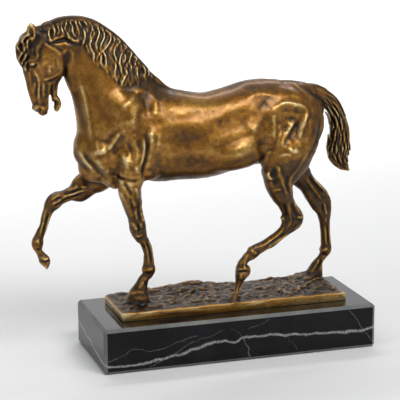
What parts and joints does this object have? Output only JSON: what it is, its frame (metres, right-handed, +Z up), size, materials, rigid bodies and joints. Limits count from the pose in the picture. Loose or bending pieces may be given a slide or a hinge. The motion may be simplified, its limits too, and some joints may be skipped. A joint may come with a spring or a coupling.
{
  "type": "horse statuette",
  "caption": "Bronze statuette of a striding horse with a flowing mane, cast with its ground plate and set on a bevelled block of black marble.",
  "frame": {"origin": "centre of the plinth's underside", "axes": "+Z up. The horse strides and faces along -X, parallel to the plinth's long sides. The side its mane falls on, its near side, faces -Y"},
  "size_m": [0.3099, 0.1, 0.3031],
  "materials": {
    "bronze": "golden brown patina, rubbed bright on the raised forms and darker in the hollows, lacquered",
    "black_marble": "polished black marble with white veins"
  },
  "bodies": {
    "root": {"bronze_horse": "bronze", "marble_plinth": "black_marble"}
  },
  "joints": []
}
